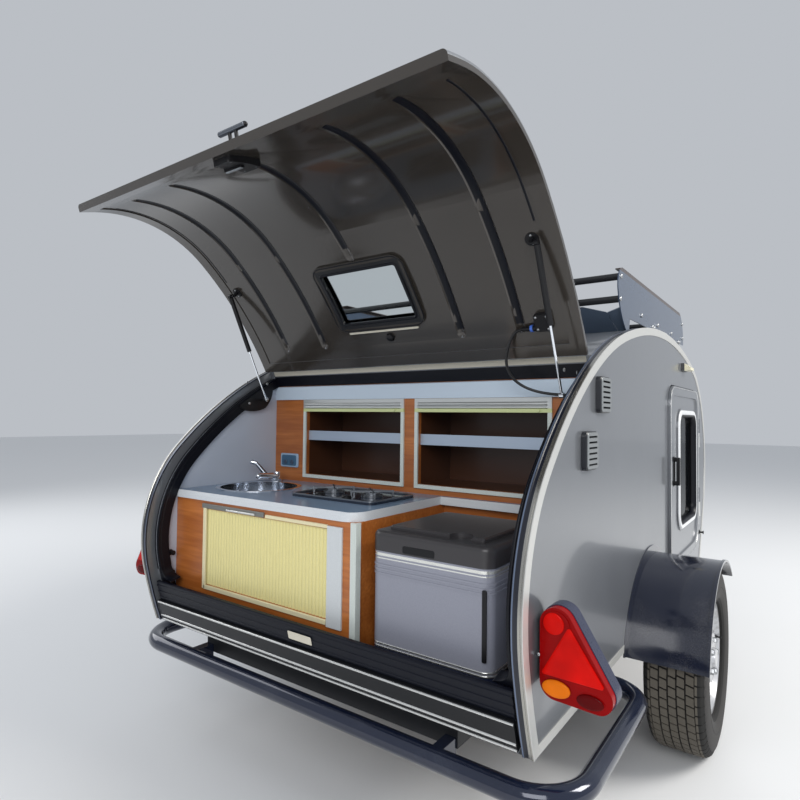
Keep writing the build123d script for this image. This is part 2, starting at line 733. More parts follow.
def make_hatch_hinge(nodes):
    """Piano hinge of the hatch: a leaf on the roof, a leaf on the hatch, and the pin."""
    top, low = -SEAT - LEAF_THICK, -SEAT
    first = HINGE_SIDE - HATCH_Y
    pitch = (-2 * first + HINGE_SPACE) / HINGE_KNUCKLES
    spans = [(first + n * pitch, first + (n + 1) * pitch - HINGE_SPACE) for n in range(HINGE_KNUCKLES)]
    reach = along(LEAF_WIDTH, HINGE_HEADING)
    bite = along(BITE, HINGE_HEADING)
    off = HATCH_START - HINGE_HEADING
    fixed = strip(HINGE_HEADING - off, HINGE_HEADING - reach, top, low, first, -first)
    for a, b in spans[0::2]:
        fixed += strip(HINGE_HEADING + bite, HINGE_HEADING - off, top, low, a, b)
        fixed += hatch_line(a, b, KNUCKLE_R)
    fixed += hatch_line(first, -first, HINGE_PIN_R)
    moving = strip(HATCH_START + reach, HATCH_START, top, low, first, -first)
    for a, b in spans[1::2]:
        moving += strip(HATCH_START, HINGE_HEADING + bite, top, low, a, b)
        moving += hatch_line(a, b, KNUCKLE_R)
        moving -= hatch_line(a - BITE, b + BITE, HINGE_PIN_R + PIN_GAP)
    nodes["hinge_fixed_leaf"] = fixed
    nodes["hinge_moving_leaf"] = swing(moving, HATCH_OPEN)


def make_struts(nodes):
    """Gas struts; each rod's eye stands beside its pin on the wall."""
    bx, bz = on_outline(BALL_HEADING, BALL_INSET)
    hx, hz = swing_point(bx, bz, HATCH_OPEN)
    start = Vector(hx, STRUT_Y, hz)
    end = Vector(STRUT_PIN_X, STRUT_Y, STRUT_PIN_Z)
    unit = (end - start).normalized()
    outer = STRUT_Y + STRUT_EYE_THICK / 2
    inner = STRUT_Y - STRUT_EYE_THICK / 2
    neck = STRUT_EYE_R * 2 / 3
    top = start + unit * STRUT_BODY
    tube = rod(start + unit * neck, top, STRUT_R) + across(hx, hz, STRUT_EYE_R, inner, outer)
    tube -= rod(start + unit * STRUT_SEAL, top + unit * BITE, STRUT_ROD_R + PIN_GAP)
    tube -= across(hx, hz, STRUT_PIN_R + PIN_GAP, inner - STRUT_R, outer + STRUT_R)
    bar = rod(start + unit * (STRUT_BODY - STRUT_SEAL), end - unit * neck, STRUT_ROD_R)
    bar += across(STRUT_PIN_X, STRUT_PIN_Z, STRUT_EYE_R, inner, outer)
    bar -= across(STRUT_PIN_X, STRUT_PIN_Z, STRUT_PIN_R + PIN_GAP, inner - BITE, outer + BITE)
    nodes["strut_cylinder_left"] = Part() + tube
    nodes["strut_cylinder_right"] = other(tube)
    nodes["strut_rod_left"] = Part() + bar
    nodes["strut_rod_right"] = other(bar)


def make_strut_brackets(nodes):
    """D-shaped plates with the lower pins on the walls, and the ball brackets on the hatch."""
    rear, front = BRACKET_LOW[0], BRACKET_FRONT[-1]
    shape = make_face([
        ThreePointArc(*BRACKET_LOW), ThreePointArc(*BRACKET_FRONT),
        Polyline(front, (front[0], BRACKET_TOP), (BRACKET_REAR, BRACKET_TOP), rear),
    ])
    outer = STRUT_Y + STRUT_EYE_THICK / 2
    inner = STRUT_Y - STRUT_EYE_THICK / 2
    face = INNER - SEAL_LIP - BITE
    plate = side_cut(shape, face - BRACKET_PLATE, face) & body_block(REBATE + BRACKET_STEP, 0, HALF)
    plate += side_cut(shape, face - BITE, SIDE) & body_block(SEAL_DEPTH + SEAT, 0, HALF)
    plate += across(STRUT_PIN_X, STRUT_PIN_Z, STRUT_PIN_R, outer + SEAT, face - BITE)
    nodes["strut_brackets"] = both(plate)
    bx, bz = on_outline(BALL_HEADING, BALL_INSET)
    stud = inner - 15
    fx, fz = on_outline(BALL_HEADING, FIELD_INSET + SEAT)
    gx, gz = on_outline(BALL_HEADING, FIELD_INSET + PAD_THICK)
    pad = rod((fx, stud, fz), (gx, stud, gz), PAD_R) & strip(60, 30, FIELD_INSET + SEAT, BALL_INSET, 0, HALF)
    arm = rod((gx, stud, gz), (bx, stud, bz), BALL_ARM_R)
    pin = across(bx, bz, STRUT_PIN_R, stud, outer)
    nodes["hatch_brackets"] = both(swing(pad + arm + pin, HATCH_OPEN))


def make_latch(nodes):
    """Latch of the hatch: a lock case with its lever inside, and a T handle on two legs outside."""
    heading = SILL_HEADING - LATCH_BACK
    flat = inward_plane(heading, 0)
    case = extrude(flat * RectangleRounded(CASE_W, CASE_LONG, CASE_W / 6), amount=3 * HATCH_THICK)
    span = (SILL_HEADING, SILL_HEADING - 12)
    case = case & strip(*span, FIELD_INSET + SEAT, FIELD_INSET + CASE_HIGH, -HALF, HALF)
    band = SILL_HEADING - along(RIM_TIP + SEAT, SILL_HEADING)
    case -= strip(SILL_HEADING, band, -MOVE, HATCH_THICK + SEAT, -HALF, HALF)
    lever = flat * Pos(CASE_W / 4, 0, FIELD_INSET + CASE_HIGH) * Box(CASE_W, 14, 12)
    plate = extrude(flat * RectangleRounded(CASE_W - 8, CASE_LONG - 28, 12), amount=10, both=True)
    plate = plate & strip(*span, -TRIM_CAP, -SEAT, -HALF, HALF)
    legs = Part()
    for y in (-HANDLE_LEG_Y, HANDLE_LEG_Y):
        foot, end = (flat.from_local_coords((y, 0, -out)) for out in (BITE, HANDLE_OUT))
        legs += rod(foot, end, HANDLE_R - 2)
    ends = [flat.from_local_coords((y, 0, -HANDLE_OUT)) for y in (-HANDLE_HALF, HANDLE_HALF)]
    bar = rod(*ends, HANDLE_R)
    for end in ends:
        bar += Pos(*end) * Sphere(HANDLE_R)
    nodes["hatch_latch"] = swing(case + lever + plate + legs + bar, HATCH_OPEN)


def make_junction_box(nodes):
    """Junction box on the hatch, with the gland that the cable leaves."""
    right, left = BOX_SIDES
    middle = (BOX_FROM + BOX_TO) / 2
    long = math.dist(on_outline(BOX_FROM, 0), on_outline(BOX_TO, 0))
    flat = inward_plane(middle, 0) * Pos((right + left) / 2, 0)
    box = extrude(flat * RectangleRounded(left - right, long, BOX_W / 10), amount=3 * HATCH_THICK)
    box = box & strip(BOX_FROM + 1, BOX_TO - 1, FIELD_INSET + SEAT, FIELD_INSET + BOX_HIGH, -HALF, HALF)
    gx, gz = gland_place()
    gland = across(gx, gz, GLAND_R, left - BITE, left + GLAND_LONG)
    gland += across(gx, gz, GLAND_R + 2, left - BITE, left + GLAND_LONG / 3)
    nodes["junction_box"] = swing(box, HATCH_OPEN) + gland


def gland_place():
    """X and Z of the gland's middle with the hatch standing open."""
    heading = BOX_TO + along(BOX_HIGH / 2, BOX_TO)
    return swing_point(*on_outline(heading, FIELD_INSET + BOX_HIGH / 2 + 2), HATCH_OPEN)


def door_frame():
    """The door's raised frame with a chamfer along its inner edge."""
    frame = side_cut(door_outline(0), HALF - BITE, HALF + DOOR_FRAME_PROUD)
    rise = DOOR_FRAME_PROUD - DOOR_FIELD_PROUD
    low = Plane.XZ.offset(-HALF - DOOR_FIELD_PROUD) * door_outline(-DOOR_FRAME - DOOR_CHAMFER)
    high = Plane.XZ.offset(-HALF - DOOR_FIELD_PROUD - rise) * door_outline(-DOOR_FRAME)
    return frame - loft([low, high])


def make_doors(nodes):
    """Side doors with their windows, handles and hinges."""
    field = HALF + DOOR_FIELD_PROUD
    leaf = side_cut(door_outline(0), INNER + BITE, HALF) + door_frame()
    leaf += side_cut(window_outline(WINDOW_FRAME), HALF - BITE, field + FRAME_PROUD)
    leaf -= side_cut(window_outline(0), INNER - BITE, field + FRAME_PROUD + BITE)
    px, py = DOOR_FRONT + DOOR_GAP / 2, HALF + DOOR_PIN_OUT
    fixed = Part()
    for z in DOOR_HINGE_Z:
        low, high = z - DOOR_HINGE_H / 2, z + DOOR_HINGE_H / 2
        face = HALF + DOOR_FRAME_PROUD
        leaf += block(px - DOOR_LEAF_BACK, px - BITE, face - BITE, face + DOOR_LEAF_THICK, z + END_GAP, high)
        leaf += rod((px, py, z + END_GAP), (px, py, high), DOOR_KNUCKLE_R)
        leaf -= rod((px, py, low - END_GAP), (px, py, z + END_GAP), DOOR_KNUCKLE_R + BITE)
        leaf -= rod((px, py, z), (px, py, high + BITE), DOOR_PIN_R + PIN_GAP)
        fixed += block(px + BITE, px + DOOR_LEAF_AHEAD, HALF + SEAT, HALF + SEAT + DOOR_LEAF_THICK, low, high)
        fixed -= rod((px, py, z), (px, py, high + BITE), DOOR_KNUCKLE_R + BITE)
        fixed += rod((px, py, low), (px, py, z - END_GAP), DOOR_KNUCKLE_R)
        fixed += rod((px, py, low), (px, py, high), DOOR_PIN_R)
    glass = side_cut(window_outline(-SEAT), HALF - GLASS_BACK, HALF - GLASS_BACK + GLASS)
    nodes["door_left"] = leaf
    nodes["door_right"] = other(leaf)
    nodes["door_glass_left"] = glass
    nodes["door_glass_right"] = other(glass)
    nodes["door_hinges"] = both(fixed)


def make_door_handles(nodes):
    """Door handles: a dished plate with a grip that bridges it."""
    face = HALF + DOOR_FIELD_PROUD + SEAT
    middle = Pos(DOOR_REAR + DOOR_HANDLE_X, DOOR_HANDLE_Z)
    outer = middle * RectangleRounded(DOOR_HANDLE_W, DOOR_HANDLE_H, DOOR_HANDLE_W / 3)
    dish = middle * RectangleRounded(DOOR_HANDLE_W - 14, DOOR_HANDLE_H - 34, 10)
    plate = side_cut(outer, face, face + 9) - side_cut(dish, face + 4, face + 10)
    grip = side_cut(middle * RectangleRounded(DOOR_HANDLE_W / 2, DOOR_HANDLE_H - 8, 9), face + 20, face + 32)
    for up in (-1, 1):
        foot = middle * Pos(0, up * (DOOR_HANDLE_H / 2 - 13)) * RectangleRounded(DOOR_HANDLE_W / 2, 18, 6)
        grip += side_cut(foot, face + 8, face + 24)
    nodes["door_handle_left"] = plate + grip
    nodes["door_handle_right"] = other(plate + grip)


def make_wheels(nodes):
    """Tyres and rims, turned about the stub axles."""
    half = TYRE_WIDTH / 2
    side = TYRE_R - 60
    # Half of the tyre's section: columns are the distance from its middle, and the radius
    tyre_half = ((half - 22, RIM_R), (half, side - 40), (half, side),
                 (half - 16, TYRE_R - 8), (half - 34, TYRE_R))
    profile = Polyline(*tyre_half, *[(-y, r) for y, r in reversed(tyre_half)], close=True)
    tyre = revolve(Plane.YZ * make_face(profile), Axis.Y)
    disc = half - 40
    bead = half - 22
    bore = STUB_R + PIN_GAP
    ring = Polyline(
        (-bead + SEAT, RIM_R - SEAT), (bead - SEAT, RIM_R - SEAT), (bead, RIM_R - RIM_LIP),
        (disc + 4, RIM_R - 20), (disc, 96), (disc + 18, 80), (disc + 18, CAP_R), (disc + 30, CAP_R - 4), (disc + 30, 0), (disc + 12, 0),
        (disc + 12, bore), (-bead + 8, bore), (-bead + 8, HUB_R), (disc - 6, HUB_R), (disc - 6, RIM_R - 22),
        (-bead, RIM_R - RIM_LIP), close=True,
    )
    rim = revolve(Plane.YZ * make_face(ring), Axis.Y)
    for n in range(RIM_HOLES):
        rim -= Rot(0, n * 360 / RIM_HOLES, 0) * across(0, RIM_HOLE_AT, RIM_HOLE_R, disc - 10, disc + 10)
    middle = Pos(WHEEL_X, TYRE_OUTER - half, TYRE_R)
    nodes["tyre_left"] = middle * tyre
    nodes["tyre_right"] = other(middle * tyre)
    nodes["rim_left"] = middle * rim
    nodes["rim_right"] = other(middle * rim)


def guard_arc(radius, y0, y1, thick):
    """Part of a ring round the wheel, from the guard's rear end to its front end."""
    def at(r, degrees):
        a = math.radians(degrees)
        return Vector(GUARD_X - r * math.cos(a), 0, GUARD_Z + r * math.sin(a))
    rear, front = GUARD_REAR, 180 - GUARD_FRONT
    top = (rear + front) / 2
    low = radius - thick
    loop = [
        Edge.make_three_point_arc(at(radius, rear), at(radius, top), at(radius, front)),
        Edge.make_line(at(radius, front), at(low, front)),
        Edge.make_three_point_arc(at(low, front), at(low, top), at(low, rear)),
        Edge.make_line(at(low, rear), at(radius, rear)),
    ]
    return prism(loop, y0, y1)


def make_guards(nodes):
    """Mudguards with a flange on the wall and a rolled outer lip."""
    face = HALF + SEAT
    guard = guard_arc(GUARD_R, face, GUARD_OUTER, GUARD_THICK)
    guard += guard_arc(GUARD_R + GUARD_FLANGE, face, face + GUARD_THICK, GUARD_FLANGE + BITE)
    guard += guard_arc(GUARD_R + GUARD_THICK, GUARD_OUTER - GUARD_LIP, GUARD_OUTER, 2 * GUARD_THICK)
    guard += guard_arc(GUARD_R + GUARD_THICK, GUARD_OUTER - 2 * GUARD_LIP, GUARD_OUTER, GUARD_THICK + BITE)
    nodes["mudguards"] = both(guard)


def hollow_bar(a, b, width, height, wall):
    """A box section tube that lies level from a to b, closed at both ends."""
    way = Vector(*b) - Vector(*a)
    plane = Plane(origin=a, x_dir=Vector(0, 0, 1).cross(way), z_dir=way)
    body = plane * Pos(0, 0, way.length / 2) * Box(width, height, way.length)
    void = plane * Pos(0, 0, way.length / 2) * Box(width - 2 * wall, height - 2 * wall, way.length - 2 * wall)
    return body - void


def make_chassis(nodes):
    """Rails, cross members, the drawbar that meets at the coupling, and the jockey wheel's clamp."""
    mid = RAIL_TOP - RAIL_H / 2
    low = RAIL_TOP - RAIL_H
    tube = (RAIL_W, RAIL_H, RAIL_WALL)
    frame = Part()
    for side in (1, -1):
        frame += hollow_bar((RAIL_REAR, side * RAIL_Y, mid), (RAIL_FRONT, side * RAIL_Y, mid), *tube)
    inside = RAIL_Y - RAIL_W / 2
    for x in (RAIL_REAR + RAIL_W / 2, WHEEL_X + AXLE_AHEAD, RAIL_FRONT - RAIL_W / 2):
        frame += hollow_bar((x, -inside, mid), (x, inside, mid), *tube)
    for side in (1, -1):
        start = (RAIL_FRONT - RAIL_W / 4, side * drawbar_y(RAIL_FRONT + RAIL_W / 4), mid)
        frame += hollow_bar(start, (NOSE_X, side * COUPLING_Y, mid), *tube)
    rear, front = NOSE_X - TONGUE_BACK, NOSE_X + TONGUE_AHEAD
    half = COUPLING_Y + RAIL_W / 2
    t = TONGUE_WALL
    frame += block(rear, front, -half, half, low, RAIL_TOP)
    frame -= block(rear + RAIL_W / 2, front - t, t - half, half - t, low + t, RAIL_TOP - t)
    jockey = jockey_y()
    clamp = rod((JOCKEY_X, jockey, low), (JOCKEY_X, jockey, RAIL_TOP), JOCKEY_TUBE_R + CLAMP_WALL)
    clamp += block(JOCKEY_X - JOCKEY_TUBE_R, JOCKEY_X + JOCKEY_TUBE_R, jockey, -drawbar_y(JOCKEY_X),
                   low + CLAMP_WALL, RAIL_TOP - CLAMP_WALL)
    bolt = (JOCKEY_X - JOCKEY_TUBE_R - CLAMP_WALL - 26, jockey, mid)
    clamp += rod((JOCKEY_X, jockey, mid), bolt, CLAMP_WALL) + Pos(*bolt) * Sphere(2 * CLAMP_WALL)
    clamp -= rod((JOCKEY_X, jockey, 0), (JOCKEY_X, jockey, JOCKEY_TOP), JOCKEY_TUBE_R + PIN_GAP)
    nodes["chassis"] = frame + clamp


def make_axle(nodes):
    """Rubber suspension axle: the beam, a trailing arm at each end and the stub of each wheel."""
    beam_x = WHEEL_X + AXLE_AHEAD
    beam_z = RAIL_TOP - RAIL_H - SEAT - AXLE_BEAM / 2
    axle = hollow_bar((beam_x, -ARM_IN, beam_z), (beam_x, ARM_IN, beam_z), AXLE_BEAM, AXLE_BEAM, AXLE_WALL)
    arm = hull_plate(((beam_x, beam_z, ARM_R), (WHEEL_X, TYRE_R, ARM_R - 4)), ARM_IN - BITE / 2, ARM_OUT)
    stub = across(WHEEL_X, TYRE_R, STUB_R, ARM_OUT - BITE, TYRE_OUTER - TYRE_WIDTH / 3)
    nodes["axle"] = axle + both(arm + stub)


def hull_plate(circles, y0, y1):
    """A flat link between two circles, each given as x, z and radius."""
    (x0, z0, r0), (x1, z1, r1) = circles
    sketch = make_hull((Pos(x0, z0) * Circle(r0) + Pos(x1, z1) * Circle(r1)).edges())
    return side_cut(sketch, y0, y1)


def drawbar_y(x):
    """Middle of a drawbar arm, from the centre line, at this x."""
    share = (x - RAIL_FRONT) / (NOSE_X - RAIL_FRONT)
    return RAIL_Y - share * (RAIL_Y - COUPLING_Y)


def jockey_y():
    """Middle of the jockey wheel's leg, right of the centre line."""
    return -drawbar_y(JOCKEY_X) - JOCKEY_SIDE


JOCKEY_Y = jockey_y()


def make_coupling(nodes):
    """Ball coupling head: narrow in plan towards the ball, sloping in side view, open downwards."""
    top = RAIL_TOP + SEAT
    crown = top + HEAD_TALL
    mouth = BALL_Z - SOCKET_SKIRT
    cup = BALL_R + HEAD_WALL
    dome = BALL_Z + BALL_R + HEAD_WALL
    rear, step = NOSE_X - TONGUE_BACK + 20, NOSE_X + TONGUE_AHEAD + BITE
    neck = Pos((rear + step) / 2, 0) * Rectangle(step - rear, HEAD_W)
    plan = make_hull((neck + Pos(BALL_X, 0) * Circle(cup)).edges())
    head = Pos(0, 0, mouth) * extrude(plan, amount=crown - mouth)
    side = Polyline((rear, top), (rear, crown - 8), (rear + 12, crown), (NOSE_X + 40, crown),
                    (BALL_X - 30, dome), (BALL_X + cup - 8, dome), (BALL_X + cup + BITE, dome - 12), (BALL_X + cup + BITE, mouth),
                    (step, mouth), (step, top), close=True)
    head = head & side_cut(make_face(side), -HALF, HALF)
    head -= rod((BALL_X, 0, BALL_Z - 2 * SOCKET_SKIRT), (BALL_X, 0, BALL_Z), BALL_R)
    head -= Pos(BALL_X, 0, BALL_Z) * Sphere(BALL_R)
    lever = hull_plate(((BALL_X - 70, crown - 8, LEVER_R + 4), (BALL_X - 185, crown + 46, LEVER_R)), -9, 9)
    lever += across(BALL_X - 185, crown + 46, LEVER_R, -26, 26)
    nodes["coupling_head"] = head + lever


def make_jockey(nodes):
    """Jockey wheel: leg in its clamp with a crank on top, fork under it, and the small wheel."""
    x, y = JOCKEY_X, JOCKEY_Y
    fork_top = 2 * JOCKEY_R + FORK_RISE
    crank_z = JOCKEY_TOP - 20
    leg = rod((x, y, fork_top + END_GAP), (x, y, JOCKEY_TOP - 40), JOCKEY_TUBE_R)
    leg += rod((x, y, JOCKEY_TOP - 42), (x, y, JOCKEY_TOP - 28), JOCKEY_TUBE_R + 4)
    leg += rod((x, y, JOCKEY_TOP - 30), (x, y, JOCKEY_TOP), JOCKEY_TUBE_R / 2)
    leg += rod((x, y, crank_z), (x, y - CRANK_LONG, crank_z), CRANK_R)
    leg += rod((x, y - CRANK_LONG, crank_z - CRANK_R), (x, y - CRANK_LONG, crank_z + 62), CRANK_R + 3)
    leg += Pos(x, y - CRANK_LONG, crank_z + 62) * Sphere(CRANK_R + 6)
    leg += rod((x, y, fork_top - 18), (x, y, fork_top + BITE), FORK_PIN_R)
    wheel_x = x - JOCKEY_TRAIL
    half = JOCKEY_WIDTH / 2
    ear = hull_plate(((wheel_x, JOCKEY_R, 2 * JOCKEY_AXLE_R), (x, fork_top - 12, 22)),
                     half + MOVE, half + MOVE + FORK_THICK)
    fork = ear + mirror(ear, about=Plane.XZ)
    fork += across(x, fork_top - 18, 18, -half - MOVE - BITE, half + MOVE + BITE)
    fork &= block(x - 200, x + 200, -200, 200, 0, fork_top)
    fork += across(wheel_x, JOCKEY_R, JOCKEY_AXLE_R, -half - 2 * MOVE, half + 2 * MOVE)
    fork = Pos(0, y, 0) * fork
    fork -= rod((x, y, fork_top - 18 - END_GAP), (x, y, fork_top + BITE), FORK_PIN_R + PIN_GAP)
    bore = JOCKEY_AXLE_R + PIN_GAP
    # Half of the small wheel's section: columns are the distance from its middle, and the radius
    section = ((half, bore), (half, 22), (half - 16, 26), (half - 16, JOCKEY_RIM_R - 6), (half, JOCKEY_RIM_R),
               (half, JOCKEY_R - 13), (half - 7, JOCKEY_R - 3), (half - 17, JOCKEY_R))
    ring = Polyline(*section, *[(-a, r) for a, r in reversed(section)], close=True)
    wheel = revolve(Plane.YZ * make_face(ring), Axis.Y)
    nodes["jockey_leg"] = Part() + leg
    nodes["jockey_fork"] = Part() + fork
    nodes["jockey_wheel"] = Part() + Pos(wheel_x, y, JOCKEY_R) * wheel


def make_bumper(nodes):
    """Rear bumper: one bent tube with stays to the chassis rails."""
    inner = RAIL_Y + RAIL_W / 2 + SEAT
    half = [(BUMPER_FRONT, inner), (BUMPER_FRONT, BUMPER_Y), (BUMPER_X, BUMPER_Y)]
    points = half + [(x, -y) for x, y in reversed(half)]
    route = [(x, y, BUMPER_Z) for x, y in points]
    bends = [BUMPER_END_BEND, BUMPER_BEND, BUMPER_BEND, BUMPER_END_BEND]
    path = FilletPolyline(*route, radius=bends)
    ring = Plane(origin=route[0], z_dir=(0, 1, 0)) * Circle(BUMPER_R)
    tube = sweep(ring, path=path)
    stay = block(BUMPER_X + BITE, RAIL_REAR - SEAT, RAIL_Y - STAY_W / 2, RAIL_Y + STAY_W / 2,
                 BUMPER_Z - BUMPER_R / 2, BUMPER_Z + BUMPER_R)
    nodes["rear_bumper"] = Part() + tube + both(stay)


def make_rack(nodes):
    """Roof rack: side plates on feet, with a flange along their top, and the cross tubes."""
    foot = roof_z(RACK_HEEL) + BITE
    top, front = RACK_TOP, RACK_FRONT
    heel_end = RACK_HEEL + RACK_HEEL_LONG
    edges = [
        Polyline((RACK_TOP_REAR, top), (RACK_TOP_FRONT, top)),
        ThreePointArc((RACK_TOP_FRONT, top), (front - 18, top - 61), (front, RACK_LOW_FRONT)),
        Polyline((front, RACK_LOW_FRONT), (heel_end + 16, RACK_LOW_REAR), (heel_end, foot), (RACK_HEEL, foot)),
        ThreePointArc((RACK_HEEL, foot), (RACK_TOP_REAR - 32, top - 143), (RACK_TOP_REAR - 54, top - 87)),
        ThreePointArc((RACK_TOP_REAR - 54, top - 87), (RACK_TOP_REAR - 42, top - 29), (RACK_TOP_REAR, top)),
    ]
    face = RACK_Y - RACK_PLATE
    plate = side_cut(make_face(edges), face, RACK_Y)
    plate += block(RACK_TOP_REAR, RACK_TOP_FRONT, RACK_Y - RACK_FLANGE, RACK_Y, top - RACK_PLATE, top)
    for x in RACK_FEET:
        plate += strip(roof_heading(x - FOOT_HALF), roof_heading(x + FOOT_HALF), -MOVE, -SEAT, face - 44, face)
        plate += block(x - FOOT_HALF, x + FOOT_HALF, face - MOVE, face + BITE, roof_z(x + FOOT_HALF) + 4,
                       RACK_LOW_REAR + 40)
    plate -= body_block(-SEAT, 0, HALF)
    nodes["rack_plates"] = both(plate)
    inside = face - SEAT
    tubes = Part()
    for x, drop in RACK_TUBES:
        tubes += across(x, top - drop, RACK_TUBE_R, -inside, inside)
    nodes["rack_tubes"] = tubes


def make_deflector(nodes):
    """Sloping sheet behind the rack, between the rack plates, with a bolted fin at each side."""
    a = math.radians(DEFLECTOR_FALL)
    inside = RACK_Y - RACK_PLATE - SEAT
    x, z = DEFLECTOR_TOP
    plane = Plane(origin=(x, 0, z), x_dir=(0, 1, 0), z_dir=(math.sin(a), 0, math.cos(a)))
    half = [(RACK_Y - gap, -fall) for gap, fall in DEFLECTOR_EDGE]
    sheet = Polyline(*half, *[(-y, t) for y, t in reversed(half)], close=True)
    (side, fall), (foot, low) = half[1], half[2]
    fin = Polyline((side + 2, fall - 2), (inside, fall / 2), (inside, low), (foot + 2, low), close=True)
    sheet = extrude(plane * make_face(sheet), amount=DEFLECTOR_THICK)
    fin = extrude(plane * make_face(fin), amount=DEFLECTOR_THICK + 2)
    nodes["rack_deflector"] = (sheet + both(fin)) - body_block(-SEAT, -HALF, HALF)


def roof_heading(x):
    """Heading of the roof skin at this x, forward of the hinge."""
    tries = [HINGE_HEADING - n * 0.05 for n in range(1600)]
    return min(tries, key=lambda h: abs(on_outline(h, 0)[0] - x))


def roof_z(x):
    """Height of the roof skin at this x, forward of the hinge."""
    return on_outline(roof_heading(x), 0)[1]


def lamp_shape(grow):
    """Outline of the tail lamp round its three circles, grown all round."""
    circles = [Pos(HALF + y, z) * Circle(radius + grow) for y, z, radius in LAMP_CIRCLES]
    return make_hull((circles[0] + circles[1] + circles[2]).edges())


def make_tail_lamps(nodes):
    """Tail lamps: a lens with its round, three-sided and oval fields, on a case beside the wall."""
    lens = Plane.YZ.offset(LAMP_X) * lamp_shape(-2)
    lens = extrude(lens, amount=LENS_DEEP)
    first = LAMP_CIRCLES[0]
    triangle = make_face(Polyline(*[(HALF + y, z) for y, z in LAMP_TRIANGLE], close=True))
    fields = [Pos(HALF + first[0], first[1]) * Circle(LAMP_ROUND), fillet(triangle.vertices(), 6)]
    for y, z, wide, high in LAMP_OVALS:
        fields.append(Pos(HALF + y, z) * Ellipse(wide, high))
    raised = Plane.YZ.offset(LAMP_X - LENS_RAISED)
    for field in fields:
        lens += extrude(raised * (field & lamp_shape(-4)), amount=LENS_RAISED + BITE)
    back = LAMP_X + LAMP_DEEP
    case = extrude(Plane.YZ.offset(LAMP_X + LENS_DEEP + SEAT) * lamp_shape(0), amount=LAMP_DEEP - LENS_DEEP)
    case = chamfer(case.faces().sort_by(Axis.X)[-1].edges(), 8)
    low, high = LAMP_FOOT
    case += block(back - LAMP_DEEP / 2, back, HALF + SEAT, HALF + 12, low, high)
    nodes["tail_lamp_lenses"] = both(lens)
    nodes["tail_lamp_housings"] = both(case)


def make_wall_fittings(nodes):
    """Louvred wall vents, and the wedge-shaped lamps over the doors."""
    face = HALF + SEAT
    vents = Part()
    pitch = (VENT_H - VENT_R) / VENT_SLOTS
    for x, z in VENTS:
        cover = side_cut(Pos(x, z) * RectangleRounded(VENT_W, VENT_H, VENT_R), face, face + VENT_DEEP)
        cover = chamfer(cover.faces().sort_by(Axis.Y)[-1].edges(), 5)
        for n in range(VENT_SLOTS):
            low = z - VENT_H / 2 + VENT_R / 2 + (n + 0.5) * pitch
            slot = Polyline((HALF + 6, low + 7), (face + VENT_DEEP + BITE, low - 5),
                            (face + VENT_DEEP + BITE, low + 2), (HALF + 6, low + 13), close=True)
            cut = extrude(Plane.YZ.offset(x - VENT_W / 2 + 14) * make_face(slot), amount=VENT_W - 28)
            cover -= cut
        vents += cover
    nodes["wall_vents"] = both(vents)
    half = ENTRY_LAMP_H / 2
    z = ENTRY_LAMP_Z
    wedge = Polyline((face, z - half), (face + ENTRY_LAMP_OUT, z - half + 5), (face + ENTRY_LAMP_OUT, z - 2),
                     (face + 12, z + half), (face, z + half), close=True)
    lamp = extrude(Plane.YZ.offset(ENTRY_LAMP_X - ENTRY_LAMP_W / 2) * make_face(wedge), amount=ENTRY_LAMP_W)
    nodes["entrance_lamps"] = both(lamp)


def make_cabinet(nodes):
    """Upper cabinet across the trailer: two open bays with framed fronts, shelves and a header."""
    rear = CABINET_X
    back = CABINET_X + CABINET_DEPTH
    roof = FLOOR_TOP + SEAT + 2 * COOLER_TOP
    inside = body_block(SKIN + SEAT, -SIDE, SIDE)
    cabinet = inside & block(rear, rear + PANEL, -SIDE, SIDE, FLOOR_TOP + SEAT, roof)
    cabinet += inside & block(back - PANEL, back, -SIDE, SIDE, BAY_BOTTOM - PANEL, roof)
    cabinet += block(rear, back, -SIDE, SIDE, BAY_BOTTOM - PANEL, BAY_BOTTOM)
    for right, left in BAYS:
        cabinet += block(rear, back, right - PANEL, left + PANEL, BAY_BOTTOM - PANEL, BAY_TOP + PANEL)
    for right, left in BAYS:
        cabinet -= block(rear - BITE, back - PANEL, right, left, BAY_BOTTOM, BAY_TOP)
    nodes["galley_cabinet"] = cabinet - seal_zone()
    shelves = Part()
    for right, left in BAYS:
        span = (right + SEAT, left - SEAT)
        shelves += block(rear + PANEL, back - PANEL - SEAT, *span, SHELF_Z - SHELF_THICK / 2,
                         SHELF_Z + SHELF_THICK / 2)
        shelves += block(rear + PANEL - SHELF_LIP_THICK, rear + PANEL + BITE, *span, SHELF_Z - SHELF_LIP / 2,
                         SHELF_Z + SHELF_LIP / 2)
    nodes["bay_shelves"] = shelves


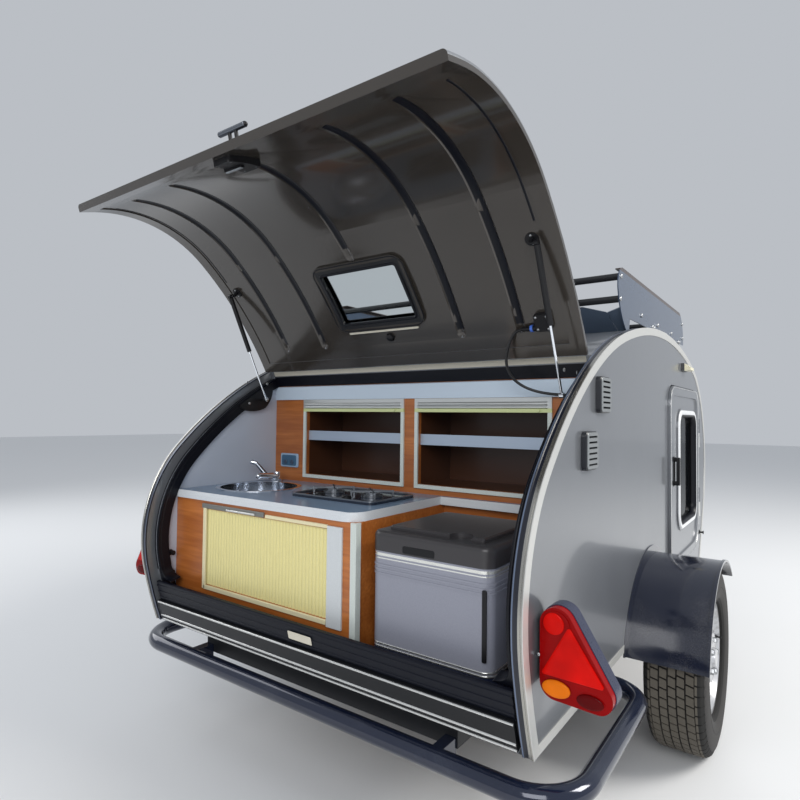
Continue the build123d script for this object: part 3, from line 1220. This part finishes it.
def bay_frames():
    """Frame round each bay, with the rolled shutter's slats and its end rail under the top."""
    rear = CABINET_X
    face = rear - BAY_FRAME / 2 - SEAT
    frames = Part()
    for right, left in BAYS:
        frames += block(face, rear - SEAT, right - BAY_FRAME, left + BAY_FRAME, BAY_BOTTOM - BAY_FRAME,
                        BAY_TOP + BAY_FRAME)
        frames -= block(face - BITE, rear + BITE, right, left, BAY_BOTTOM, BAY_TOP - 3 * SLAT)
        frames -= block(face - BITE, face + BAY_FRAME / 4, right, left, BAY_TOP - 2 * SLAT, BAY_TOP)
        for n in range(2):
            frames += across(face + BAY_FRAME / 4, BAY_TOP - (n + 0.5) * SLAT, SLAT / 2 - SEAT, right, left)
        knob = (right + 2 * BAY_FRAME, BAY_TOP - 2.5 * SLAT)
        frames += rod((face + BITE, *knob), (face - SLAT / 2, *knob), SLAT / 3)
    frames -= block(rear - SEAT, rear + BAY_FRAME, -HALF, HALF, BAY_BOTTOM - PANEL, BAY_TOP + PANEL)
    header = block(face + BITE, rear - SEAT, -SIDE, SIDE, HEADER_LOW, HEADER_HIGH)
    return frames + (header - seal_zone())


def make_worktop(nodes):
    """Worktop with its round nose, and the ledge that goes on over the cool box."""
    rear = CABINET_X - SEAT
    top = WORKTOP_Z - WORKTOP_THICK
    end = GALLEY_FRONT - WORKTOP_NOSE
    sheet = Pos((end + rear) / 2, (WORKTOP_RIGHT + SIDE) / 2) * Rectangle(rear - end, SIDE - WORKTOP_RIGHT)
    nose = sheet.vertices().sort_by_distance((end, WORKTOP_RIGHT, 0))[0]
    worktop = Pos(0, 0, top) * extrude(fillet(nose, WORKTOP_R), amount=WORKTOP_THICK)
    worktop += block(rear + SEAT - LEDGE, rear, -SIDE, WORKTOP_RIGHT + BITE, top, WORKTOP_Z)
    worktop -= Pos(SINK_X, SINK_Y, top) * Cylinder(SINK_R + BITE, 4 * WORKTOP_THICK)
    nodes["worktop"] = worktop - seal_zone()


def make_sink(nodes):
    """Round bowl with a flat rim, rounded bottom and drain, and the tap with its bent spout."""
    low = WORKTOP_Z - SINK_DEPTH
    lip = WORKTOP_Z + SEAT
    place = Pos(SINK_X, SINK_Y, 0)

    def bowl(radius, floor, bend):
        shape = Pos(0, 0, floor) * Cylinder(radius, lip + SINK_WALL - floor,
                                            align=(Align.CENTER, Align.CENTER, Align.MIN))
        return fillet(shape.edges().sort_by(Axis.Z)[0], bend)
    rim = Pos(0, 0, lip + SINK_WALL / 2) * Cylinder(SINK_R + SINK_RIM, SINK_WALL)
    drain = rod((0, 0, low - DRAIN_R), (0, 0, low + BITE), DRAIN_R)
    sink = bowl(SINK_R, low, SINK_BEND) + rim + drain
    sink -= bowl(SINK_R - SINK_WALL, low + SINK_WALL, SINK_BEND - SINK_WALL)
    sink -= rod((0, 0, low - 2 * DRAIN_R), (0, 0, low + DRAIN_R), DRAIN_R - 2 * SINK_WALL)
    nodes["sink"] = place * sink
    tap = rod((TAP_X, TAP_Y, lip), (TAP_X, TAP_Y, lip + 10), 25)
    tap += rod((TAP_X, TAP_Y, lip), (TAP_X, TAP_Y, lip + 56), 13)
    tap += rod((TAP_X, TAP_Y, lip + 50), (TAP_X + 40, TAP_Y + 14, lip + 72), 5)
    end_x, end_y = TAP_X - SPOUT_BACK, TAP_Y - SPOUT_IN
    route = [(TAP_X, TAP_Y, lip + 30), (TAP_X - SPOUT_BACK / 4, TAP_Y - SPOUT_IN / 4, lip + 84),
             (end_x, end_y, lip + 84), (end_x, end_y, lip + 54)]
    path = FilletPolyline(*route, radius=[30.0, 18.0])
    ring = Plane(origin=route[0], z_dir=Vector(*route[1]) - Vector(*route[0])) * Circle(9)
    nodes["tap"] = Part() + tap + sweep(ring, path=path)


def make_hob(nodes):
    """Hob: a dished plate with two burners and a cross-shaped grate over each."""
    lip = WORKTOP_Z + SEAT
    plate = Pos(HOB_X, HOB_Y, lip) * extrude(RectangleRounded(HOB_WIDE, HOB_LONG, 22), amount=12)
    plate -= Pos(HOB_X, HOB_Y, lip + 7) * extrude(RectangleRounded(HOB_WIDE - 16, HOB_LONG - 16, 16), amount=12)
    hob = plate
    for y in (HOB_Y - BURNER_APART / 2, HOB_Y + BURNER_APART / 2):
        hob += rod((HOB_X, y, lip + 6), (HOB_X, y, lip + 15), 38)
        hob += rod((HOB_X, y, lip + 14), (HOB_X, y, lip + 22), 27)
        for turn in (45, 135):
            arm = Pos(0, 0, 26) * Box(150, 5, 6)
            for end in (-72, 72):
                arm += Pos(end, 0, 17) * Box(6, 5, 24)
            hob += Pos(HOB_X, y, lip) * Rot(0, 0, turn) * arm
    nodes["hob"] = Part() + hob


def make_cupboard(nodes):
    """Lower cupboard with its upright-slatted shutter, and the aluminium corner post."""
    front, right = GALLEY_FRONT, WORKTOP_RIGHT
    base = FLOOR_TOP + SEAT
    top = WORKTOP_Z - WORKTOP_THICK - SEAT
    cupboard = block(front, front + PANEL, right, SIDE, base, top)
    cupboard += block(front, CABINET_X - SEAT, right, right + PANEL, base, top)
    hole = (SHUTTER_RIGHT, SHUTTER_LEFT, SHUTTER_BOTTOM, SHUTTER_TOP)
    cupboard -= block(front - BITE, front + PANEL + BITE, *hole)
    toe = strip(FOOT_HEADING, SILL_HEADING - BITE, -MOVE, SILL_DEPTH + SEAT, -HALF, HALF)
    ends = block(0, CABINET_X, -HALF, SEAL_LIP + BITE - INNER, 0, WORKTOP_Z)
    edges = seal_zone() & both(ends)
    nodes["cupboard"] = cupboard - toe - edges
    first, last = SHUTTER_RIGHT + SEAT, SHUTTER_LEFT - SEAT
    pitch = (last - first) / SHUTTER_SLATS
    face = front + PANEL / 3
    scallops = []
    for n in range(SHUTTER_SLATS):
        y = first + n * pitch
        scallops.append(ThreePointArc((face, y), (face - pitch / 4, y + pitch / 2), (face, y + pitch)))
    back = face + PANEL / 3
    closed = Polyline((face, last), (back, last), (back, first), (face, first))
    shutter = extrude(make_face([*scallops, closed]), amount=SHUTTER_TOP - SHUTTER_BOTTOM - 2 * SEAT)
    nodes["tambour_shutter"] = Pos(0, 0, SHUTTER_BOTTOM + SEAT) * shutter
    post = block(front - 8, front - SEAT, right - 8, right + 14, base, top)
    post += block(front - 8, front + 14, right - 8, right - SEAT, base, top)
    nodes["galley_trim"] = bay_frames() + (post - toe)


def cooler_ring(grow, low, high):
    """A block with the cool box's rounded outline, grown all round, between two heights."""
    radius = max(COOLER_R + grow, COOLER_R / 4)
    shape = RectangleRounded(COOLER_DEPTH + 2 * grow, COOLER_WIDTH + 2 * grow, radius)
    place = Pos((COOLER_REAR + COOLER_FRONT) / 2, COOLER_RIGHT + COOLER_WIDTH / 2, low)
    return place * extrude(shape, amount=high - low)


def make_cooler(nodes):
    """Cool box with raised bands and a hinged lid with a rounded edge and a raised middle."""
    low = FLOOR_TOP + SEAT
    y = COOLER_RIGHT + COOLER_WIDTH / 2
    grip = 7
    body = cooler_ring(-2, low, COOLER_TOP)
    for height in COOLER_BANDS:
        body += cooler_ring(0, low + height, low + height + 5)
    body += cooler_ring(0, low, low + COOLER_BANDS[0] - 10)
    body -= cooler_ring(-COOLER_WALL, low + COOLER_BASE, COOLER_TOP + BITE)
    rear, front = COOLER_REAR, COOLER_FRONT
    for side in (COOLER_RIGHT + grip, COOLER_RIGHT + COOLER_WIDTH - grip):
        body -= block(rear + 150, front - 150, side - 10, side + 10, low + 210, low + 250)
    lid_low = COOLER_TOP + END_GAP
    lid = fillet(cooler_ring(0, lid_low, lid_low + LID_THICK).faces().sort_by(Axis.Z)[-1].edges(), 14)
    lid -= cooler_ring(-COOLER_WALL, COOLER_TOP, COOLER_TOP + LID_THICK / 2)
    top = lid_low + LID_THICK
    raised = cooler_ring(-40, top - BITE, top + LID_RAISED)
    notch = Pos(rear + 40, COOLER_RIGHT + 110, top) * Cylinder(34, 4 * LID_RAISED)
    lid += chamfer(raised.faces().sort_by(Axis.Z)[-1].edges(), 4) - notch
    px, pz = front + LID_PIN, COOLER_TOP
    pin = LID_KNUCKLE_R / 2
    for dy in (-110, 110):
        a, mid, b = y + dy - 40, y + dy, y + dy + 40
        body += across(px, pz, LID_KNUCKLE_R, a, mid - END_GAP)
        body += block(front - 4, px, a, mid - END_GAP, pz - 9, pz - BITE)
        body += across(px, pz, pin, a, b - BITE)
        hole = across(px, pz, pin + PIN_GAP, mid, b + BITE)
        lid += across(px, pz, LID_KNUCKLE_R, mid + END_GAP, b) - hole
        lid += block(front - 2, px, mid + END_GAP, b, pz + BITE, pz + 9) - hole
    nodes["cooler_box"] = body
    nodes["cooler_lid"] = lid


def make_mattress(nodes):
    """Mattress on the cabin floor."""
    x0, x1 = CABINET_X + PANEL + MATTRESS_GAP, MATTRESS_FRONT
    sheet = Pos((x0 + x1) / 2, 0) * RectangleRounded(x1 - x0, 2 * (INNER - MATTRESS_GAP), 60)
    nodes["mattress"] = Pos(0, 0, FLOOR_TOP + PIN_GAP) * extrude(sheet, amount=MATTRESS_THICK)


def make_cable(nodes):
    """Cable from the junction box on the hatch to the side wall."""
    gx, gz = gland_place()
    mouth = BOX_SIDES[1] + GLAND_LONG + SEAT
    rest = tuple((x, gap - HALF, z) for x, gap, z in CABLE_END)
    route = ((gx, mouth, gz), (gx, mouth + CABLE_OUT, gz)) + rest
    points = [Vector(*p) for p in route]
    radii = []
    for a, b, c in zip(points, points[1:], points[2:]):
        turn = math.radians((b - a).get_angle(c - b))
        radii.append(0.45 * min((b - a).length, (c - b).length) / math.tan(turn / 2))
    path = FilletPolyline(*route, radius=radii)
    ring = Plane(origin=points[0], z_dir=points[1] - points[0]) * Circle(CABLE_R)
    nodes["hatch_cable"] = Part() + sweep(ring, path=path)
    print("cable starts at", [round(v, 1) for v in route[0]], "length", round(path.length))
    print("cable radii", [round(r) for r in radii])


def write_parts(nodes):
    """Moves every node to the shared origin and writes one STEP file each."""
    os.makedirs("parts", exist_ok=True)
    low = min(shape.bounding_box().min.X for shape in nodes.values())
    high = max(shape.bounding_box().max.X for shape in nodes.values())
    for name, shape in nodes.items():
        export_step(Pos(-(low + high) / 2, 0, 0) * shape, f"parts/{name}.step")
    return -(low + high) / 2


MAKERS = (
    make_walls, make_shell, make_sill, make_seal, make_hatch, make_hatch_hinge, make_struts,
    make_strut_brackets, make_latch, make_junction_box, make_doors, make_door_handles, make_wheels,
    make_guards, make_chassis, make_axle, make_coupling, make_jockey, make_bumper, make_rack,
    make_deflector, make_tail_lamps, make_wall_fittings, make_cabinet, make_worktop, make_sink,
    make_hob, make_cupboard, make_cooler, make_mattress, make_cable,
)


def build():
    """All nodes of the trailer, by name."""
    nodes = {}
    for make in MAKERS:
        make(nodes)
    return nodes


NODES = build()
SHIFT = write_parts(NODES)
print("nodes", len(NODES), "shift", round(SHIFT, 3))
